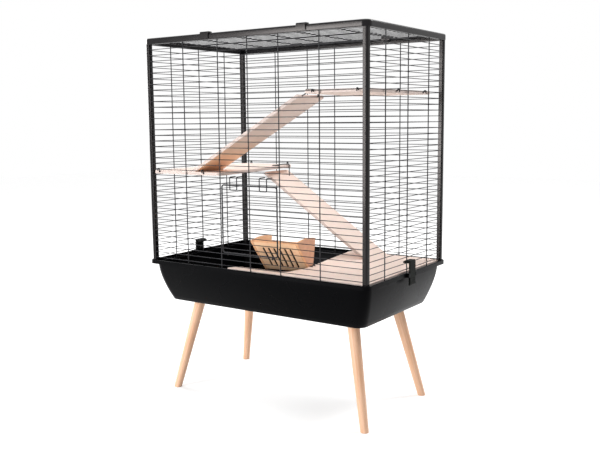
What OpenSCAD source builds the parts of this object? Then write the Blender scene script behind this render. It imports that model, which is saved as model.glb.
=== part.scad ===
// Ferret cage: a wire cage with plastic corner posts and a hinged wire roof, clipped onto a
// deep plastic tray that stands on four splayed, tapered wooden legs. Inside are a platform,
// two shelves, two ramps that hook under the shelves, and a slatted hay manger.
// Millimetres. Origin on the floor below the middle of the cage, front towards -Y, up is +Z.

/* [Cage] */
// Width over the corner posts
cage_w = 760; // [740:2:770]
// Depth over the corner posts
cage_d = 460; // [450:2:470]
// Height of the top of the roof rails above the floor
cage_top = 1083; // [1078:1:1090]
// Side of a square corner post
post_w = 14; // [14:0.5:16]

/* [Tray] */
// Width over the tray's lip
tray_w = 775; // [775:1:790]
// Depth over the tray's lip
tray_d = 475; // [475:1:485]
// Height of the top of the tray's lip above the floor
tray_top = 416.5; // [410:0.5:420]
// Height of the tray's underside above the floor
tray_bottom = 289; // [280:1:300]
// How far the tray's wall leans in from the ledge down to the floor
tray_lean = 31; // [20:1:40]

/* [Legs] */
// Distance of a leg's axis from the middle, sideways, at the tray's underside
leg_x = 277; // [265:1:285]
// Distance of a leg's axis from the middle, front to back, at the tray's underside
leg_y = 126; // [120:1:130]
// How far out a leg's foot splays, sideways
splay_x = 65; // [40:1:80]
// How far out a leg's foot splays, front to back
splay_y = 49; // [30:1:60]
// Diameter of a leg at the top
leg_top_d = 35; // [32:1:38]
// Diameter of a leg at the floor
leg_foot_d = 23; // [20:1:28]

/* [Wires] */
// Height step from one thin row of wire to the next
row_pitch = 16.9; // [16:0.1:18]
// Diameter of the thin row wires
row_d = 2; // [1.8:0.1:2.2]
// Diameter of the upright wires
upright_d = 3; // [2.8:0.1:3.2]
// Distance of the inner uprights of the front and back from the middle
upright_inner_x = 105; // [100:1:110]
// Distance of the outer uprights of the front and back from the middle
upright_outer_x = 235; // [225:1:245]
// Distance of the side panels' uprights from the middle
upright_side_y = 128; // [120:1:135]

/* [Door] */
// Number of the row that the door hangs on, counted from the bottom
door_low_row = 2; // [2:1:3]
// Number of the row over the doorway
door_high_row = 14; // [13:1:15]
// Diameter of the door's frame wire
door_frame_d = 4; // [3.6:0.1:4.4]

/* [Boards] */
// Thickness of the platform, shelves and ramps
board_t = 9; // [8:0.5:9]
// Height of the middle shelf's top
mid_shelf_z = 691; // [685:1:695]
// Height of the upper shelf's top
upper_shelf_z = 917; // [912:1:918]
// Width of a ramp
ramp_w = 126; // [110:1:130]
// Rise of the upper ramp for each millimetre along
upper_ramp_slope = 0.559; // [0.54:0.001:0.57]
// Fall of the lower ramp for each millimetre along
lower_ramp_slope = 0.672; // [0.66:0.001:0.68]

/* [Manger] */
// Outside width of the manger
manger_w = 152.5; // [145:0.5:155]
// Height of the manger's rim
manger_rim_z = 496; // [490:1:500]
// Depth of the manger's sides at the rim
manger_d = 121; // [115:1:125]
// Number of slots in the manger's front
slot_count = 6; // [4:1:7]

/* [Hidden] */

BLACK = "#1c1d20";
WIRE = "#26272a";
PALE_WOOD = "#f1dccb";
LEG_WOOD = "#efc6a4";
MANGER_WOOD = "#eebb8c";
STEEL = "#b9bcc0";

fine = 48;
fit = 0.05;
weld = 0.3;

// Tray
lip_h = 12;
lip_t = 3;
ledge_z = tray_top - 9;
lip_r = 18;
wall_r = 30;
wall_inset = 11;
wall_t = 5;
floor_t = 3.5;
foot_edge = 7;
wall_steps = 9;
corner_steps = 6;

// Posts, rails and the rows of wire between them
rail_depth = 14;
rail_h = 18;
rail_z = cage_top - rail_h;
rail_over = 4.5;
rail_corner_r = 20;
rail_edge_r = 5;
rebate_w = 7.5;
rebate_h = 7.5;
row_inset = 2.2;
row_z0 = 424.5;
row_last = floor((rail_z - row_z0) / row_pitch);
row_end = 4;
upright_inset = row_inset + (row_d + upright_d) / 2 - weld;
row_x = cage_w / 2 - row_inset;
row_y = cage_d / 2 - row_inset;
upright_x = cage_w / 2 - upright_inset;
upright_y = cage_d / 2 - upright_inset;
row_reach_x = cage_w / 2 - post_w + row_end;
row_reach_y = cage_d / 2 - post_w + row_end;
front_uprights = [-upright_outer_x, -upright_inner_x, 0, upright_inner_x, upright_outer_x];
side_uprights = [-upright_side_y, 0, upright_side_y];

// Roof: a frame wire in the rails' rebate, with rows across it
roof_frame_d = 5;
roof_wire_in = 3.6;
roof_wire_z = rail_z + 14.5;
roof_x = cage_w / 2 + rail_over - rail_depth + roof_wire_in;
roof_y = cage_d / 2 + rail_over - rail_depth + roof_wire_in;
roof_r = 18;
roof_rows = 17;
roof_pitch = 2 * roof_y / (roof_rows + 1);
clip_w = 29;
clip_places = [-143, 186];

// Door
door_z = row_z0 + row_pitch * door_low_row;
door_x = upright_inner_x - 8;
door_foot_z = door_z + 4.5;
door_head_z = row_z0 + row_pitch * door_high_row - 4;
door_loops = [-80, 80];
hook_pairs = [[-65, -40], [40, 65]];

// Side clips
pin_x = 393;
pin_z = tray_top - 6;
pin_d = 4;
strap_w = 32;
strap_t = 5;
strap_foot_z = 381;
ear_t = 8;
head_w = 28;
head_h = 8;
head_z = row_z0 + row_pitch + row_d / 2 + 0.2;
head_tip_x = 372;

// Boards
board_end = 372;
board_front = 222;
platform_front = 223.5;
post_gap = 0.6;
corner_round = 18;
hook_d = 3;
notch_a = [110, -108];
notch_b = [62, board_front];
mid_right = [-106, -166];
upper_left = [182, 127];
upper_back = 158;
mid_hooks = [[0, -345], [0, -170], [180, -345], [180, -190]];
upper_hooks = [[0, 350], [0, 215], [90, -60], [90, 100]];

// Ramps
upper_ramp_end = 166;
upper_ramp_foot = mid_shelf_z + 2 * fit;
upper_ramp_lift = 805 - upper_ramp_foot;
upper_hook_y = [-200, -125];
upper_hook_tip = 190;
lower_ramp_end = -186;
lower_ramp_foot = tray_top + 2 * fit;
lower_ramp_lift = 548 - lower_ramp_foot;
lower_hook_y = [125, 195];
lower_hook_tip = -178;

// Manger
manger_t = 8;
manger_back_t = 6;
manger_floor_z = 398;
manger_lean = 0.905;
manger_back_lean = 0.2267;
manger_bulge = 5;
manger_turn = atan2(notch_a[0] - notch_b[0], notch_b[1] - notch_a[1]);
manger_y = -162;
manger_gap = 0.4;
manger_x = notch_a[0] + (notch_a[1] - manger_y) * tan(manger_turn) - manger_gap / cos(manger_turn);
peg_places = [80, 97];
peg_out = 9;
peg_z = tray_top + hook_d / 2 + 2 * fit;

function row_z(k) = row_z0 + row_pitch * k;
function unit(v) = v / norm(v);
function tenth(v) = round(10 * v) / 10;

// Points of an outline whose corners are rounded by tangent arcs of radius r
function arc_point(c, r, a) = [c[0] + r * cos(a), c[1] + r * sin(a)];
function rounded(pts, radii, steps = 5) = [
  for (i = [0:len(pts) - 1])
    let (
      p = pts[i],
      a = unit(pts[(i + len(pts) - 1) % len(pts)] - p),
      b = unit(pts[(i + 1) % len(pts)] - p),
      half = acos(a * b) / 2,
      r = radii[i],
      turn = sign(cross(-a, b)),
      c = p + unit(a + b) * r / sin(half),
      a0 = atan2(a[0] * turn, -a[1] * turn)
    )
    if (r == 0) p
    else each [for (s = [0:steps]) arc_point(c, r, a0 + turn * (180 - 2 * half) * s / steps)]
];

// One level ring of a rounded rectangle with half sizes a and b
function ring(a, b, r, z) = [
  for (q = [0:3], s = [0:corner_steps])
    let (t = 90 * q + 90 * s / corner_steps, sx = (q == 0 || q == 3) ? 1 : -1, sy = q < 2 ? 1 : -1)
    [sx * (a - r) + r * cos(t), sy * (b - r) + r * sin(t), z]
];

// A closed skin through a stack of equal rings
module loft(rings) {
  n = len(rings[0]);
  last = (len(rings) - 1) * n;
  polyhedron(
    points = [for (level = rings, p = level) p],
    faces = concat(
      [[for (i = [0:n - 1]) i]],
      [for (l = [0:len(rings) - 2], i = [0:n - 1])
        let (j = (i + 1) % n) [l * n + j, l * n + i, (l + 1) * n + i, (l + 1) * n + j]],
      [[for (i = [n - 1:-1:0]) last + i]]
    )
  );
}

// A straight round rod between two points
module rod(a, b, d, n = 24) {
  v = b - a;
  translate(a) rotate([0, acos(v[2] / norm(v)), atan2(v[1], v[0])])
    cylinder(d = d, h = norm(v), $fn = n);
}

// A round wire bent to radius r at each inner point of its route
module wire(pts, d, r) {
  last = len(pts) - 1;
  dirs = [for (i = [0:last - 1]) unit(pts[i + 1] - pts[i])];
  trims = [for (i = [0:last]) (i == 0 || i == last) ? 0
    : r * tan(acos(dirs[i - 1] * dirs[i]) / 2)];
  for (i = [0:last - 1])
    rod(pts[i] + dirs[i] * trims[i], pts[i + 1] - dirs[i] * trims[i + 1], d);
  for (i = [1:last - 1]) {
    u = dirs[i - 1];
    n = unit(cross(u, dirs[i]));
    w = cross(n, u);
    c = pts[i] - u * trims[i] + w * r;
    multmatrix([
      [-w[0], u[0], n[0], c[0]],
      [-w[1], u[1], n[1], c[1]],
      [-w[2], u[2], n[2], c[2]],
      [0, 0, 0, 1]
    ]) rotate_extrude(angle = acos(u * dirs[i]), $fn = fine) translate([r, 0]) circle(d = d, $fn = 24);
  }
}

// ---- Tray ----

function wall_in(t) = wall_inset + tray_lean * pow(t, 1.6);
function wall_z(t) = tray_top - lip_h - (tray_top - lip_h - tray_bottom - 2) * t;
function tray_ring(inset, z, r) = ring(tray_w / 2 - inset, tray_d / 2 - inset, r, z);

module tray_shell() {
  outer = [for (s = [wall_steps:-1:0]) let (t = s / wall_steps) tray_ring(wall_in(t), wall_z(t), wall_r)];
  inner = [
    for (s = [0:wall_steps])
      let (t = s / wall_steps, z = ledge_z - (ledge_z - tray_bottom - floor_t - 4) * t)
      tray_ring(wall_in(t) + wall_t - 1.5 * t, z, wall_r - wall_t)
  ];
  loft(concat(
    [tray_ring(wall_in(1) + foot_edge, tray_bottom, wall_r - foot_edge)],
    [tray_ring(wall_in(1) + 2, tray_bottom + 0.6, wall_r - 2)],
    outer,
    [tray_ring(0, tray_top - lip_h, lip_r), tray_ring(0, tray_top - 1, lip_r)],
    [tray_ring(1, tray_top, lip_r - 1), tray_ring(lip_t, tray_top, lip_r - lip_t)],
    [tray_ring(lip_t, ledge_z, lip_r - lip_t)],
    inner,
    [tray_ring(wall_in(1) + 9, tray_bottom + floor_t, wall_r - 9)]
  ));
}

// Places a child in a leg's own frame: axis along Z, origin where it meets the tray's underside
leg_tilt = atan2(norm([splay_x, splay_y]), tray_bottom);
module at_leg(sx, sy) {
  translate([sx * leg_x, sy * leg_y, tray_bottom])
    rotate([0, -leg_tilt, atan2(sy * splay_y, sx * splay_x)]) children();
}
module each_leg() {
  for (sx = [-1, 1], sy = [-1, 1]) at_leg(sx, sy) children();
}

collar_d = 38;
collar_h = 12;
bolt_d = 8;
pad_d = 26;
pad_h = 8;
washer_d = 20;
washer_t = 1.6;
nut_af = 13;
nut_h = 6.5;

module clip_ear(side, y) {
  translate([side * (tray_w / 2 - 2), y, tray_top - lip_h]) mirror([side < 0 ? 1 : 0, 0, 0])
    difference() {
      translate([0, -ear_t / 2, 0]) cube([pin_x - tray_w / 2 + 5, ear_t, lip_h]);
      translate([pin_x - tray_w / 2 + 2, 0, pin_z - tray_top + lip_h]) rotate([90, 0, 0])
        cylinder(d = pin_d + 2 * fit, h = 2 * ear_t, center = true, $fn = fine);
    }
}

// Two blind recesses just under the lip on each side
recess_y = 110;
recess_w = 11;
recess_h = 4.5;
recess_depth = 3.2;
module lip_recesses() {
  for (sx = [-1, 1], sy = [-1, 1])
    translate([sx * (tray_w / 2 - wall_inset), sy * recess_y, tray_top - lip_h - recess_h / 2 - 1.5])
      rotate([0, 90, 0]) linear_extrude(2 * recess_depth, center = true)
        polygon(rounded([[-recess_h / 2, -recess_w / 2], [recess_h / 2, -recess_w / 2],
          [recess_h / 2, recess_w / 2], [-recess_h / 2, recess_w / 2]], [2, 2, 2, 2]));
}

module tray() {
  color(BLACK) difference() {
    union() {
      tray_shell();
      intersection() {
        each_leg() cylinder(d = pad_d, h = 2 * pad_h, center = true, $fn = fine);
        translate([-tray_w / 2, -tray_d / 2, tray_bottom + 1]) cube([tray_w, tray_d, 3 * pad_h]);
      }
      for (side = [-1, 1], y = [-1, 1]) clip_ear(side, y * (strap_w + ear_t + 1) / 2);
    }
    each_leg() cylinder(d = bolt_d + 0.6, h = 6 * pad_h, center = true, $fn = fine);
    lip_recesses();
  }
}

module tray_feet() {
  color(BLACK) for (sx = [-1, 1], sy = [-1, 1])
    translate([sx * 302, sy * 162, tray_bottom - 3]) rotate_extrude($fn = fine)
      polygon(rounded([[0, 0], [19, 0], [22, 3], [0, 3]], [0, 4, 0, 0]));
}

// ---- Legs ----

module leg(sx, sy) {
  length = tray_bottom / cos(leg_tilt);
  top_r = leg_top_d / 2;
  foot_r = leg_foot_d / 2;
  slope = (top_r - foot_r) / length;
  color(LEG_WOOD) intersection() {
    at_leg(sx, sy) translate([0, 0, -length - 20]) difference() {
      cylinder(r1 = foot_r - 20 * slope, r2 = top_r - collar_h * slope, h = length + 20 - collar_h,
        $fn = fine);
      translate([0, 0, length + 20 - collar_h - 34]) cylinder(d = bolt_d + 2 * fit, h = 40, $fn = fine);
    }
    translate([-tray_w, -tray_d, 0]) cube([2 * tray_w, 2 * tray_d, tray_bottom]);
  }
}

module leg_collars() {
  color(BLACK) difference() {
    each_leg() translate([0, 0, -collar_h]) cylinder(d = collar_d, h = 2 * collar_h, $fn = fine);
    each_leg() cylinder(d = bolt_d + 0.4, h = 5 * collar_h, center = true, $fn = fine);
    translate([-tray_w / 2, -tray_d / 2, tray_bottom]) cube([tray_w, tray_d, 3 * collar_h]);
  }
}

module leg_bolts() {
  bolt_foot = -collar_h - 33;
  color(STEEL) each_leg() translate([0, 0, bolt_foot])
    cylinder(d = bolt_d, h = pad_h + washer_t + nut_h + 3 - bolt_foot, $fn = fine);
}

module leg_washers() {
  color(STEEL) each_leg() translate([0, 0, pad_h]) difference() {
    cylinder(d = washer_d, h = washer_t, $fn = fine);
    translate([0, 0, -1]) cylinder(d = bolt_d + 0.4, h = washer_t + 2, $fn = fine);
  }
}

module leg_nuts() {
  color(STEEL) each_leg() translate([0, 0, pad_h + washer_t]) difference() {
    cylinder(d = nut_af / cos(30), h = nut_h, $fn = 6);
    translate([0, 0, -1]) cylinder(d = bolt_d + 2 * fit, h = nut_h + 2, $fn = fine);
  }
}

// ---- Posts, rails and corners ----

// A post's section, its outer corner at the origin and the rows' slots on its two inner faces
post_bore = 5;
post_bore_in = 7.5;
slot_w = row_d + 0.4;
module post_section() {
  difference() {
    polygon(rounded([[0, 0], [post_w, 0], [post_w, post_w], [0, post_w]], [5, 1, 1, 1]));
    for (flip = [0, 1]) mirror([flip, -flip, 0]) {
      translate([post_w - row_end - 1, row_inset - slot_w / 2]) square([row_end + 2, slot_w]);
      for (x = [6.5, 10]) translate([x, 0]) circle(d = 1.4, $fn = 16);
    }
    translate([post_bore_in, post_bore_in]) circle(d = post_bore, $fn = fine);
  }
}
module at_corner(sx, sy) {
  mirror([sx > 0 ? 1 : 0, 0, 0]) mirror([0, sy > 0 ? 1 : 0, 0])
    translate([-cage_w / 2, -cage_d / 2, 0]) children();
}
module post(sx, sy) {
  color(BLACK) at_corner(sx, sy) translate([0, 0, ledge_z])
    linear_extrude(rail_z - ledge_z) post_section();
}

// A rail's section: x runs from the cage's inside out, y runs up
module rail_section() {
  polygon(rounded(
    [[0, 0], [rail_depth, 0], [rail_depth, rail_h], [rebate_w, rail_h], [rebate_w, rail_h - rebate_h],
      [0, rail_h - rebate_h]],
    [1, 2, rail_edge_r, 1, 0, 1]));
}
// A rail of the given length, seen along X, with a slot below for the tops of the uprights
module rail(length, half) {
  slot_in = upright_inset + rail_over;
  translate([0, -half + rail_depth, rail_z]) rotate([90, 0, -90])
    linear_extrude(length, center = true) difference() {
      rail_section();
      translate([rail_depth - slot_in - 1.8, -1]) square([3.6, row_end + 1.5]);
    }
}
rail_x = cage_w / 2 + rail_over;
rail_y = cage_d / 2 + rail_over;
module rail_pair_x(sy) {
  mirror([0, sy > 0 ? 1 : 0, 0]) rail(2 * (rail_x - rail_corner_r), rail_y);
}
module rail_pair_y(sx) {
  rotate(sx > 0 ? 90 : -90) rail(2 * (rail_y - rail_corner_r), rail_x);
}

module corner(sx, sy) {
  in_r = rail_corner_r - rail_depth;
  peg_in = post_bore_in + rail_over;
  color(BLACK) mirror([sx < 0 ? 1 : 0, 0, 0]) mirror([0, sy < 0 ? 1 : 0, 0]) {
    translate([rail_x - rail_corner_r, rail_y - rail_corner_r, rail_z])
      rotate_extrude(angle = 90, $fn = 96) polygon(rounded(
        [[0, 0], [rail_corner_r, 0], [rail_corner_r, rail_h], [in_r + rebate_w, rail_h],
          [in_r + rebate_w, rail_h - rebate_h], [0, rail_h - rebate_h]],
        [0, 2, rail_edge_r, 1, 0, 0]));
    translate([rail_x - peg_in, rail_y - peg_in, rail_z - 20])
      cylinder(d = post_bore - 2 * fit, h = 24, $fn = fine);
  }
}

// ---- Wire panels ----

module row_x_wire(x0, x1, y, z) { rod([x0, y, z], [x1, y, z], row_d); }
module upright(x, y, z0, z1) { rod([x, y, z0], [x, y, z1], upright_d); }
upright_top = rail_z + row_end;

module front_panel() {
  color(WIRE) union() {
    for (k = [0:row_last])
      if (k > door_low_row && k < door_high_row) {
        row_x_wire(-row_reach_x, -upright_inner_x + 1, -row_y, row_z(k));
        row_x_wire(upright_inner_x - 1, row_reach_x, -row_y, row_z(k));
      } else row_x_wire(-row_reach_x, row_reach_x, -row_y, row_z(k));
    for (x = front_uprights)
      if (x == 0) {
        upright(x, -upright_y, ledge_z, row_z(door_low_row) + 1);
        upright(x, -upright_y, row_z(door_high_row) - 1, upright_top);
      } else upright(x, -upright_y, ledge_z, upright_top);
  }
}

module back_panel() {
  color(WIRE) union() {
    for (k = [0:row_last]) row_x_wire(-row_reach_x, row_reach_x, row_y, row_z(k));
    for (x = front_uprights) upright(x, upright_y, ledge_z, upright_top);
  }
}

module side_panel(side) {
  color(WIRE) union() {
    for (k = [0:row_last])
      rod([side * row_x, -row_reach_y, row_z(k)], [side * row_x, row_reach_y, row_z(k)], row_d);
    for (y = side_uprights) upright(side * upright_x, y, ledge_z, upright_top);
  }
}

// ---- Roof ----

module roof_grid() {
  cross_z = roof_wire_z - (row_d + upright_d) / 2 + weld;
  color(WIRE) union() {
    for (sx = [-1, 1]) {
      rod([sx * roof_x, -roof_y + roof_r, roof_wire_z], [sx * roof_x, roof_y - roof_r, roof_wire_z],
        roof_frame_d);
      rod([-roof_x + roof_r, sx * roof_y, roof_wire_z], [roof_x - roof_r, sx * roof_y, roof_wire_z],
        roof_frame_d);
      for (sy = [-1, 1])
        mirror([sx < 0 ? 1 : 0, 0, 0]) mirror([0, sy < 0 ? 1 : 0, 0])
          translate([roof_x - roof_r, roof_y - roof_r, roof_wire_z])
            rotate_extrude(angle = 90, $fn = 96) translate([roof_r, 0]) circle(d = roof_frame_d, $fn = 32);
    }
    for (i = [0:roof_rows - 1])
      row_x_wire(-roof_x, roof_x, tenth((i - (roof_rows - 1) / 2) * roof_pitch), roof_wire_z);
    for (x = front_uprights) rod([x, -roof_y, cross_z], [x, roof_y, cross_z], upright_d);
  }
}

// Section of a roof clip round the frame wire, its origin on the wire; x runs outwards
clip_in = roof_wire_in + 1.2;
clip_seat = roof_wire_z - rail_z - (rail_h - rebate_h) - fit;
clip_rise = rail_h - (roof_wire_z - rail_z);
clip_out = rail_depth - roof_wire_in + 3;
module clip_block(bore_d, tongue) {
  rotate([90, 0, 90]) linear_extrude(clip_w, center = true) difference() {
    union() {
      translate([-clip_in, -clip_seat])
        square([clip_in + rebate_w - roof_wire_in - 0.4, clip_seat + clip_rise + 1]);
      polygon(rounded(
        [[-clip_in, clip_rise + 0.3], [clip_out, clip_rise + 0.3], [clip_out, clip_rise + 4.5],
          [-clip_in, clip_rise + 4.5]],
        [0, 0, 3.5, 2]));
      translate([clip_out - 2.6, clip_rise + 1 - tongue]) square([2.6, tongue]);
    }
    circle(d = bore_d, $fn = fine);
  }
}

module roof_clips() {
  color(BLACK) for (x = clip_places)
    translate([x, -roof_y, roof_wire_z]) mirror([0, 1, 0]) clip_block(roof_frame_d + 0.04, 16);
}

module roof_hinges() {
  color(BLACK) for (x = clip_places)
    translate([x, roof_y, roof_wire_z]) clip_block(roof_frame_d + 2 * fit, 12);
}

// ---- Door ----

module door_grid() {
  head = door_head_z;
  foot = door_foot_z;
  mid = (head + foot) / 2;
  loop_r = row_d / 2 + fit + 1.25;
  color(WIRE) union() {
    wire([[0, -row_y, foot], [door_x, -row_y, foot], [door_x, -row_y, head], [-door_x, -row_y, head],
      [-door_x, -row_y, foot], [0, -row_y, foot]], door_frame_d, 7);
    for (k = [door_low_row + 1:door_high_row - 1]) row_x_wire(-door_x, door_x, -row_y, row_z(k));
    upright(0, -upright_y, foot - 1, head + 1);
    for (x = door_loops) translate([x, -row_y, door_z]) rotate([0, 90, 0])
      rotate_extrude($fn = fine) translate([loop_r, 0]) circle(d = 2.5, $fn = 24);
  }
}

module door_hooks() {
  y = -row_y - (door_frame_d + hook_d) / 2 + fit;
  top = row_z(door_high_row + 1) + (row_d + hook_d) / 2 + 0.1;
  low = row_z(door_high_row - 1);
  color(WIRE) for (pair = hook_pairs)
    wire([[pair[0], y + 25, top], [pair[0], y, top], [pair[0], y, low], [pair[1], y, low],
      [pair[1], y, top], [pair[1], y + 25, top]], hook_d, 4);
}

// ---- Side clips ----

// A rocking clip: its head lies over a row of wire, its strap is pressed in below to let go
module side_clip(side) {
  out = pin_x + strap_t / 2;
  color(BLACK) mirror([side < 0 ? 1 : 0, 0, 0]) difference() {
    union() {
      rotate([90, 0, 0]) linear_extrude(strap_w, center = true)
        polygon(rounded(
          [[out - strap_t, strap_foot_z], [out, strap_foot_z], [out, head_z + head_h],
            [out - strap_t, head_z + head_h]], [2, 2, 3, 0]));
      rotate([90, 0, 0]) linear_extrude(head_w, center = true)
        polygon(rounded(
          [[head_tip_x, head_z], [out - strap_t, head_z], [out - strap_t, head_z - 8], [out, head_z - 8],
            [out, head_z + head_h], [head_tip_x + 6, head_z + head_h], [head_tip_x, head_z + 4]],
          [0, 0, 0, 2, 4, 2.5, 1]));
      translate([pin_x, 0, pin_z]) rotate([90, 0, 0])
        cylinder(d = pin_d, h = strap_w + 2 * ear_t + 1, center = true, $fn = fine);
    }
    translate([head_tip_x - 1, -3, head_z - 1]) cube([upright_x + 4 - head_tip_x, 6, head_h + 2]);
    for (z = [0:2]) translate([out, 0, strap_foot_z + 7 + 6 * z]) rotate([90, 0, 0])
      cylinder(d = 2, h = strap_w - 8, center = true, $fn = 24);
  }
}

// ---- Boards ----

// Cuts a board's outline clear of the corner posts
module clear_of_posts() {
  reach_x = cage_w / 2 - post_w - post_gap;
  reach_y = cage_d / 2 - post_w - post_gap;
  difference() {
    children();
    for (sx = [-1, 1], sy = [-1, 1]) translate([sx * (reach_x + 15), sy * (reach_y + 15)])
      square(30, center = true);
  }
}

// Bent wires that grow out of a board's edge and lie over a row of the cage's walls.
// Each place is [the wall's direction, distance along it]; z is the board's mid height.
edge_gap = row_y - board_front;
function wall_point(place) =
  place[0] == 0 ? [place[1], -row_y] :
  place[0] == 90 ? [row_x, place[1]] :
  place[0] == 180 ? [place[1], row_y] : [-row_x, place[1]];
hook_bury = 14;
module at_wall(place) { translate(wall_point(place)) rotate(place[0]) children(); }
module wall_hooks(places, z) {
  row = row_z(ceil((z + 1 - row_z0) / row_pitch));
  rise = edge_gap - hook_d / 2 - 1;
  over = row + (row_d + hook_d) / 2 + fit;
  out = -(row_d + hook_d) / 2 - 0.6;
  for (place = places) at_wall(place)
    wire([[0, edge_gap + hook_bury, z], [0, rise, z], [0, rise, over], [0, out, over],
      [0, out, over - 8]], hook_d, 1.6);
}
module wall_hook_holes(places, z) {
  for (place = places) at_wall(place)
    rod([0, -1, z], [0, edge_gap + hook_bury + 0.5, z], hook_d + 2 * fit);
}

function to_notch(x, y) = [
  manger_x + x * cos(manger_turn) - y * sin(manger_turn),
  manger_y + x * sin(manger_turn) + y * cos(manger_turn)
];

module base_platform() {
  color(PALE_WOOD) difference() {
    translate([0, 0, ledge_z]) linear_extrude(tray_top - ledge_z) clear_of_posts()
      polygon(rounded(
        [[-93, -platform_front], [board_end, -platform_front], [board_end, board_front], notch_b,
          notch_a, [96, -188], [-69, -188]],
        [5, 0, 0, corner_round, 60, 26, 5]));
    for (v = peg_places) translate(to_notch(peg_out, v)) translate([0, 0, ledge_z - 1])
      cylinder(d = hook_d + 0.4, h = board_t + 2, $fn = fine);
  }
}

module mid_shelf() {
  z = mid_shelf_z - board_t / 2;
  color(PALE_WOOD) difference() {
    translate([0, 0, mid_shelf_z - board_t]) linear_extrude(board_t) clear_of_posts()
      polygon(rounded(
        [[-board_end, -board_front], [mid_right[0], -board_front], [mid_right[1], board_front],
          [-board_end, board_front]],
        [0, corner_round, corner_round, 0]));
    wall_hook_holes(mid_hooks, z);
  }
}
module mid_shelf_hooks() { color(WIRE) wall_hooks(mid_hooks, mid_shelf_z - board_t / 2); }

module upper_shelf() {
  z = upper_shelf_z - board_t / 2;
  color(PALE_WOOD) difference() {
    translate([0, 0, upper_shelf_z - board_t]) linear_extrude(board_t) clear_of_posts()
      polygon(rounded(
        [[upper_left[0], -board_front], [board_end, -board_front], [board_end, upper_back],
          [upper_left[1], upper_back]],
        [corner_round, 0, corner_round, corner_round]));
    wall_hook_holes(upper_hooks, z);
  }
}
module upper_shelf_hooks() { color(WIRE) wall_hooks(upper_hooks, upper_shelf_z - board_t / 2); }

// ---- Ramps ----

// Where a straight edge that slants from front to back lies at y
function edge_x(front_x, back_x, back_y, y) =
  front_x + (back_x - front_x) * (y + board_front) / (back_y + board_front);

upper_turn = atan(upper_ramp_slope);
function upper_under(x) = upper_ramp_foot + upper_ramp_lift + upper_ramp_slope * x;
upper_ramp_nose = [upper_ramp_end, upper_under(upper_ramp_end)];
upper_normal = [-sin(upper_turn), cos(upper_turn)];
upper_mid = upper_ramp_nose + upper_normal * board_t / 2;
upper_foot_x = -upper_ramp_lift / upper_ramp_slope;
upper_hook_z = upper_shelf_z + hook_d / 2 + fit;

// One wire leaves the ramp's end twice, rises past the shelf's edge and lies on the shelf.
// A small weld joins each sloping stub to its riser.
function upper_riser(y) =
  tenth(edge_x(upper_left[0], upper_left[1], upper_back, y) - hook_d / 2 - 1);
function upper_turn_z(y) =
  tenth(upper_mid[1] + (upper_riser(y) - upper_mid[0]) * upper_ramp_slope);
module ramp_wire(ends, tip, z) {
  wire([for (i = [0:5]) let (e = ends[i < 3 ? 0 : 1], at_tip = i == 2 || i == 3)
    [at_tip ? tip : e[0], e[1], (i == 0 || i == 5) ? e[2] : z]], hook_d, 2.4);
}

module upper_ramp() {
  top_lift = board_t / cos(upper_turn);
  color(PALE_WOOD) difference() {
    translate([0, ramp_w - board_front, 0]) rotate([90, 0, 0]) linear_extrude(ramp_w)
      polygon([[upper_foot_x, upper_ramp_foot], upper_ramp_nose, upper_ramp_nose + upper_normal * board_t,
        [upper_foot_x - top_lift / upper_ramp_slope, upper_ramp_foot]]);
    for (y = upper_hook_y)
      rod([upper_mid[0] - 20.5 * cos(upper_turn), y, upper_mid[1] - 20.5 * sin(upper_turn)],
        [upper_mid[0] + cos(upper_turn), y, upper_mid[1] + sin(upper_turn)], hook_d + 2 * fit);
  }
}
module upper_ramp_hooks() {
  color(WIRE) union() {
    for (y = upper_hook_y) let (turn = [upper_riser(y), y, upper_turn_z(y)]) {
      rod([upper_mid[0] - 20 * cos(upper_turn), y, upper_mid[1] - 20 * sin(upper_turn)], turn, hook_d);
      translate(turn) sphere(d = hook_d + 0.8, $fn = fine);
    }
    ramp_wire([for (y = upper_hook_y) [upper_riser(y), y, upper_turn_z(y)]], upper_hook_tip,
      upper_hook_z);
  }
}

lower_turn = atan(lower_ramp_slope);
lower_normal = [sin(lower_turn), cos(lower_turn)];
lower_foot_x = lower_ramp_lift / lower_ramp_slope;
lower_hook_z = mid_shelf_z + hook_d / 2 + fit;
function lower_top(x) = lower_ramp_foot + lower_ramp_lift - lower_ramp_slope * x;
function lower_riser(y) =
  tenth(edge_x(mid_right[0], mid_right[1], board_front, y) + hook_d / 2 + 1);

module lower_ramp() {
  nose = [lower_ramp_end, lower_top(lower_ramp_end)];
  top_lift = board_t / cos(lower_turn);
  color(PALE_WOOD) difference() {
    translate([0, board_front, 0]) rotate([90, 0, 0]) linear_extrude(ramp_w)
      polygon([[lower_foot_x, lower_ramp_foot], nose, nose - lower_normal * board_t,
        [lower_foot_x - top_lift / lower_ramp_slope, lower_ramp_foot]]);
    for (y = lower_hook_y) let (x = lower_riser(y))
      rod([x, y, lower_top(x) - 7], [x, y, lower_top(x) + 5], hook_d + 2 * fit);
  }
}
module lower_ramp_hooks() {
  color(WIRE) ramp_wire(
    [for (y = lower_hook_y) let (x = lower_riser(y)) [x, y, tenth(lower_top(x) - 6.5)]],
    lower_hook_tip, lower_hook_z);
}

// ---- Manger ----

// The manger's own frame: x runs from its left to its right side at 0, y from its front rim back
module at_manger() { translate([manger_x, manger_y, 0]) rotate(manger_turn) children(); }
manger_h = manger_rim_z - manger_floor_z;
manger_slope = norm([manger_lean, 1]);
front_dir = [manger_lean, -1] / manger_slope;
front_angle = atan(1 / manger_lean);
back_foot_y = manger_d - manger_back_lean * manger_h;

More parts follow.
